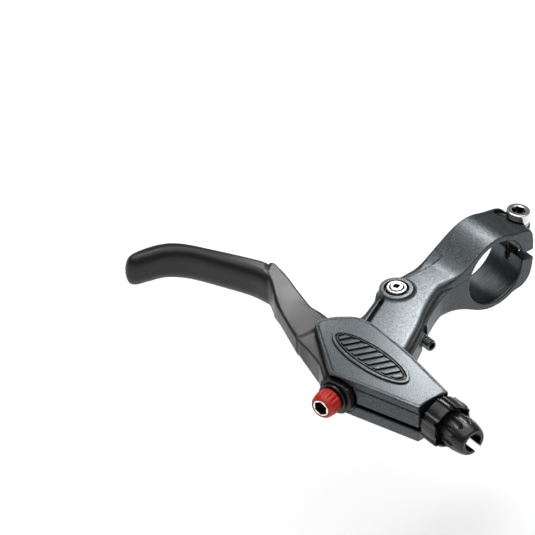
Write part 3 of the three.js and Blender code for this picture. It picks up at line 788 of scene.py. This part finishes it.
# ---------------------------------------------------------------- cable adjuster
def make_adjuster():
    s = Space((-6.5, -6.5, 37.5), (6.5, 6.5, 63.6), 0.14)
    reach = np.hypot(s.x, s.y)
    thread_part = thread(s.x, s.y, s.z, THREAD_RADIUS, 1.0, 0.35, 38, 54)
    grip = outline(reach, s.z, flowing([(-2, 51.2), (3.8, 51.2), (4.7, 52.4), (5.25, 54.2), (5.5, 57),
                                        (5.25, 60), (4.75, 62), (4.1, 62.95), (3.3, 62.95),
                                        (-2, 62.95)], 5))
    taper = ramp(62.4, 58.0, s.z)
    leaves = flutes(s.x, s.y, 11, 5.95, 0.1 + 1.3 * taper, 0.25)
    grip = cut(grip, leaves, 0.05)
    barrel = join(thread_part, grip, 0.2)
    barrel = cut(barrel, reach - 1.6 + 0 * s.z)
    barrel = cut(barrel, rod(reach, s.z, 3.0, 56, 70), 0.15)
    across = s.x * math.cos(SLOT_LEAN) + s.y * math.sin(SLOT_LEAN)
    down = s.x * math.sin(SLOT_LEAN) - s.y * math.cos(SLOT_LEAN)
    barrel = cut(barrel, np.maximum(np.abs(across) - 1.1, -down), 0.15)
    piece = s.mesh("barrel_adjuster_grip", barrel, ADJUSTER)
    dress(piece, "barrel_adjuster", "adjuster", "black_plastic", GLOSS_BLACK)

    s = Space((-8.2, -8.2, NOSE_END), (8.2, 8.2, 53.9), 0.14)
    reach = np.hypot(s.x, s.y)
    pitch = math.pi / 3
    angle = np.arctan2(s.y, s.x) - 0.5
    arc = np.abs(angle - pitch * np.round(angle / pitch)) * 7.2
    ridge = 0.55 * np.exp(-((arc - 0.95) / 0.42) ** 2) - 0.25 * ramp(0.6, 0.2, arc)
    ring = outline(reach - ridge, s.z, rounded([
        (3.7, 47.5), (7.2, 47.5, 0.2), (7.25, 51.6), (7.1, 53.4, 0.25), (6.4, 53.4, 0.15), (6.3, 49.6),
        (3.7, 49.6)]))
    notch = np.maximum(np.maximum(arc - 0.55, 52.2 - s.z), 5.5 - reach)
    ring = cut(ring, notch, 0.15)
    piece = s.mesh("adjuster_lock_ring", ring, ADJUSTER)
    dress(piece, "lock_ring", "adjuster_carrier", "black_plastic", GLOSS_BLACK)


make_bracket()
make_blade()
make_clamp_bolt()
make_pivot()
make_reach_screw()
make_dial()
make_adjuster()


# ---------------------------------------------------------------- studio
AZIMUTH = math.radians(50.5)
ELEVATION = math.radians(38.5)
DISTANCE = 1.5
PIXELS_PER_METRE = 3220.0
IMAGE = 535
ORIGIN_AT = (481.7, 261.3)
SENSOR = 36.0
FLOOR_DEPTH = 0.08


def make_camera():
    right = Vector((math.cos(AZIMUTH), math.sin(AZIMUTH), 0))
    up = Vector((-math.sin(AZIMUTH) * math.sin(ELEVATION), math.cos(AZIMUTH) * math.sin(ELEVATION),
                 math.cos(ELEVATION)))
    toward = right.cross(up)
    focal = PIXELS_PER_METRE * DISTANCE
    across = (ORIGIN_AT[0] - IMAGE / 2) / focal
    above = -(ORIGIN_AT[1] - IMAGE / 2) / focal
    depth = DISTANCE / math.sqrt(1 + across ** 2 + above ** 2)
    data = bpy.data.cameras.new("camera")
    data.sensor_width = SENSOR
    data.lens = PIXELS_PER_METRE * depth / IMAGE * SENSOR
    data.clip_start = 0.01
    camera = place("camera", data)
    camera.matrix_world = axes(right, up, toward,
                               toward * depth - right * across * depth - up * above * depth)
    bpy.context.scene.camera = camera


def make_light(name, target, direction, distance, size, strength, spread=180):
    """Soft box of that size and radiance, seen from target in that direction."""
    data = bpy.data.lights.new(name, "AREA")
    data.shape = "RECTANGLE"
    data.size, data.size_y = size
    data.energy = strength * math.pi * size[0] * size[1]
    data.spread = math.radians(spread)
    lamp = place(name, data)
    lamp.visible_camera = False
    lamp.location = Vector(target) * MM + Vector(direction).normalized() * distance
    lamp.rotation_euler = (-Vector(direction)).to_track_quat("-Z", "Y").to_euler()


def make_floor():
    made = bmesh.new()
    bmesh.ops.create_grid(made, x_segments=1, y_segments=1, size=4.0)
    floor = finish_mesh("floor", made)
    floor.location = (0, 0, -FLOOR_DEPTH)
    material, nodes, links, shader = tree("studio_floor")
    at = wired(nodes, links, "ShaderNodeTexCoord").outputs["Object"]
    cloud = wired(nodes, links, "ShaderNodeTexNoise", {"Vector": at, "Scale": 3.0}).outputs["Fac"]
    links.new(ramped(nodes, links, cloud, [(0.3, grey(0.93)), (0.7, grey(0.95))]),
              shader.inputs["Base Color"])
    shader.inputs["Roughness"].default_value = 0.9
    shader.inputs["Specular IOR Level"].default_value = 0.1
    floor.data.materials.append(material)


make_camera()
make_floor()
make_light("nose_box", (33, -37, 7), (-0.604, 0.498, 0.6225), 0.1, (0.03, 0.03), 3.3, 50)
make_light("back_box", (0, -50, 5), (-0.27, 0.39, 0.88), 0.5, (0.12, 0.12), 9.0)
make_light("neck_box", (-28, -58, 6), (-0.49, 0.498, 0.715), 0.12, (0.03, 0.03), 0.6, 24)

world = bpy.data.worlds.new("studio")
world.use_nodes = True
sky_nodes, sky_links = world.node_tree.nodes, world.node_tree.links
height = wired(sky_nodes, sky_links, "ShaderNodeSeparateXYZ",
               {"Vector": wired(sky_nodes, sky_links, "ShaderNodeTexCoord").outputs["Generated"]})
sky = wired(sky_nodes, sky_links, "ShaderNodeMapRange",
            {"Value": height.outputs["Z"], "From Min": 0.62, "From Max": 0.9, "To Min": 0.22,
             "To Max": 2.5}, interpolation_type="SMOOTHSTEP")
sky_links.new(sky.outputs["Result"], sky_nodes["Background"].inputs["Strength"])
sky_nodes["Background"].inputs["Color"].default_value = (1, 1, 1, 1)
bpy.context.scene.world = world
bpy.context.scene.view_settings.view_transform = "Standard"
